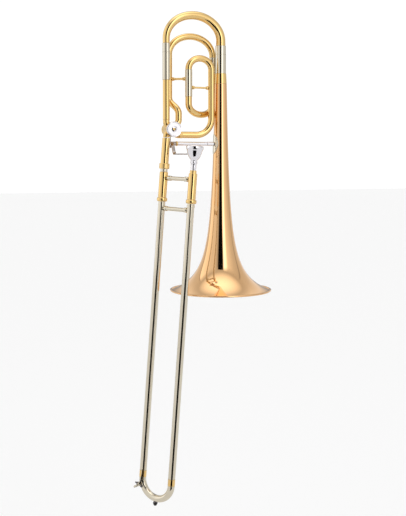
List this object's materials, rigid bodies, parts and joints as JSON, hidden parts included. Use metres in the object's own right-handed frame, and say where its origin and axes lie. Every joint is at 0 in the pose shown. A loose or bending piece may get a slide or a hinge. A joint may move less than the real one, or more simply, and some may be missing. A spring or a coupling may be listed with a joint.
{
  "type": "trombone",
  "caption": "Tenor trombone with a thumb-operated rotary valve branch, flared bell, pull-out tuning slides and a telescoping hand slide with a removable mouthpiece.",
  "frame": {"origin": "centre of the bell's mouth, in the plane of the rim", "axes": "+Z along the bell's axis away from the mouth, -X towards the gooseneck and hand slide, -Y the player's side, where the valve cap is"},
  "size_m": [0.3406, 0.2414, 1.1377],
  "materials": {
    "gold_brass": "clear-lacquered gold brass, bright",
    "yellow_brass": "clear-lacquered yellow brass, bright",
    "nickel_silver": "polished nickel silver, slightly warm grey",
    "silver_plate": "bright silver plate",
    "steel": "plain steel",
    "rubber": "matt black rubber",
    "cork": "natural cork",
    "felt": "pressed wool felt"
  },
  "bodies": {
    "bell_section": {"bell": "gold_brass", "bell_rim_wire": "steel", "bell_ferrule": "yellow_brass", "tuning_sleeve_bell": "nickel_silver", "tuning_sleeve_neck": "nickel_silver", "rotor_casing": "yellow_brass", "valve_cap": "silver_plate", "bearing_plate": "yellow_brass", "stop_bumper_rest": "cork", "stop_bumper_pressed": "cork", "gooseneck": "yellow_brass", "f_neck_tube": "yellow_brass", "f_rear_arc": "yellow_brass", "f_port_ferrule": "yellow_brass", "f_front_branch": "yellow_brass", "f_sleeve_front": "nickel_silver", "f_sleeve_rear": "nickel_silver", "f_brace_upper": "yellow_brass", "f_brace_lower": "yellow_brass", "bell_brace": "silver_plate", "brace_ferrule": "silver_plate", "brace_collar": "yellow_brass", "bell_saddle": "silver_plate", "slide_receiver": "yellow_brass"},
    "tuning_slide": {"crook_ferrule_bell": "nickel_silver", "crook_ferrule_neck": "nickel_silver", "tuning_leg_bell": "nickel_silver", "tuning_leg_neck": "nickel_silver", "tuning_crook": "yellow_brass"},
    "f_tuning_slide": {"f_slide_leg_front": "nickel_silver", "f_slide_leg_rear": "nickel_silver", "f_slide_bow": "yellow_brass"},
    "rotor": {"rotor_core": "yellow_brass", "stop_arm": "silver_plate"},
    "link_rod": {"link_rod": "silver_plate"},
    "thumb_lever": {"thumb_lever": "silver_plate"},
    "lock_nut": {"lock_nut": "yellow_brass"},
    "inner_slide": {"slide_tenon": "nickel_silver", "cork_barrel_far": "yellow_brass", "cork_barrel_near": "yellow_brass", "barrel_ring": "yellow_brass", "inner_tube_far": "nickel_silver", "inner_tube_near": "nickel_silver", "felt_pad_far": "felt", "felt_pad_near": "felt", "inner_brace": "nickel_silver", "mouthpiece_receiver": "yellow_brass", "lead_pipe": "nickel_silver"},
    "slide_lock": {"slide_lock": "yellow_brass"},
    "mouthpiece": {"mouthpiece": "silver_plate"},
    "outer_slide": {"outer_tube_far": "nickel_silver", "outer_tube_near": "nickel_silver", "bow_ferrule_far": "yellow_brass", "bow_ferrule_near": "yellow_brass", "outer_brace": "nickel_silver", "end_bow": "nickel_silver", "bumper": "rubber", "water_key_screw": "steel"},
    "water_key": {"water_key": "nickel_silver", "water_key_cork": "cork"}
  },
  "joints": [
    {"name": "tuning_slide_pull", "type": "slide", "parent": "bell_section", "child": "tuning_slide", "axis": [0, 0, 1], "range_m": [0, 0.045]},
    {"name": "f_slide_pull", "type": "slide", "parent": "bell_section", "child": "f_tuning_slide", "axis": [0, 0, -1], "range_m": [0, 0.025]},
    {"name": "rotor_turn", "type": "hinge", "parent": "bell_section", "child": "rotor", "pos_m": [-0.125, 0, 0.381], "axis": [0, -1, 0], "range_deg": [0, 90]},
    {"name": "thumb_lever_press", "type": "hinge", "parent": "bell_section", "child": "thumb_lever", "pos_m": [-0.1205, 0, 0.3485], "axis": [1, 0, 0], "range_deg": [0, 28.34], "stiffness_Nm_per_rad": 0.05, "springref_deg": -17.19},
    {"name": "link_rod_swing", "type": "hinge", "parent": "rotor", "child": "link_rod", "pos_m": [-0.11864, 0.0252, 0.37464], "axis": [0, -1, 0], "range_deg": [-90, 0]},
    {"name": "lock_nut_turn", "type": "hinge", "parent": "bell_section", "child": "lock_nut", "pos_m": [-0.142, 0, 0.29619], "axis": [0.0757, 0, 0.9971], "continuous": true},
    {"name": "slide_swivel", "type": "hinge", "parent": "bell_section", "child": "inner_slide", "pos_m": [-0.137, 0, 0.362], "axis": [-0.0757, 0, -0.9971], "range_deg": [-8, 40]},
    {"name": "mouthpiece_pull", "type": "slide", "parent": "inner_slide", "child": "mouthpiece", "axis": [0.0757, 0, 0.9971], "range_m": [0, 0.028]},
    {"name": "slide_lock_turn", "type": "hinge", "parent": "inner_slide", "child": "slide_lock", "pos_m": [-0.10576, -0.07609, 0.21622], "axis": [0.0757, 0, 0.9971], "range_deg": [0, 25]},
    {"name": "hand_slide", "type": "slide", "parent": "inner_slide", "child": "outer_slide", "axis": [-0.0757, 0, -0.9971], "range_m": [0, 0.56]},
    {"name": "water_key_press", "type": "hinge", "parent": "outer_slide", "child": "water_key", "pos_m": [-0.20896, -0.00879, -0.43865], "axis": [0.6902, -0.4066, -0.5986], "range_deg": [0, 12], "stiffness_Nm_per_rad": 0.02, "springref_deg": -28.65}
  ],
  "couplings": [
    {"joint": "thumb_lever_press", "follows": "rotor_turn", "ratio": 0.3148},
    {"joint": "link_rod_swing", "follows": "rotor_turn", "ratio": -1}
  ]
}
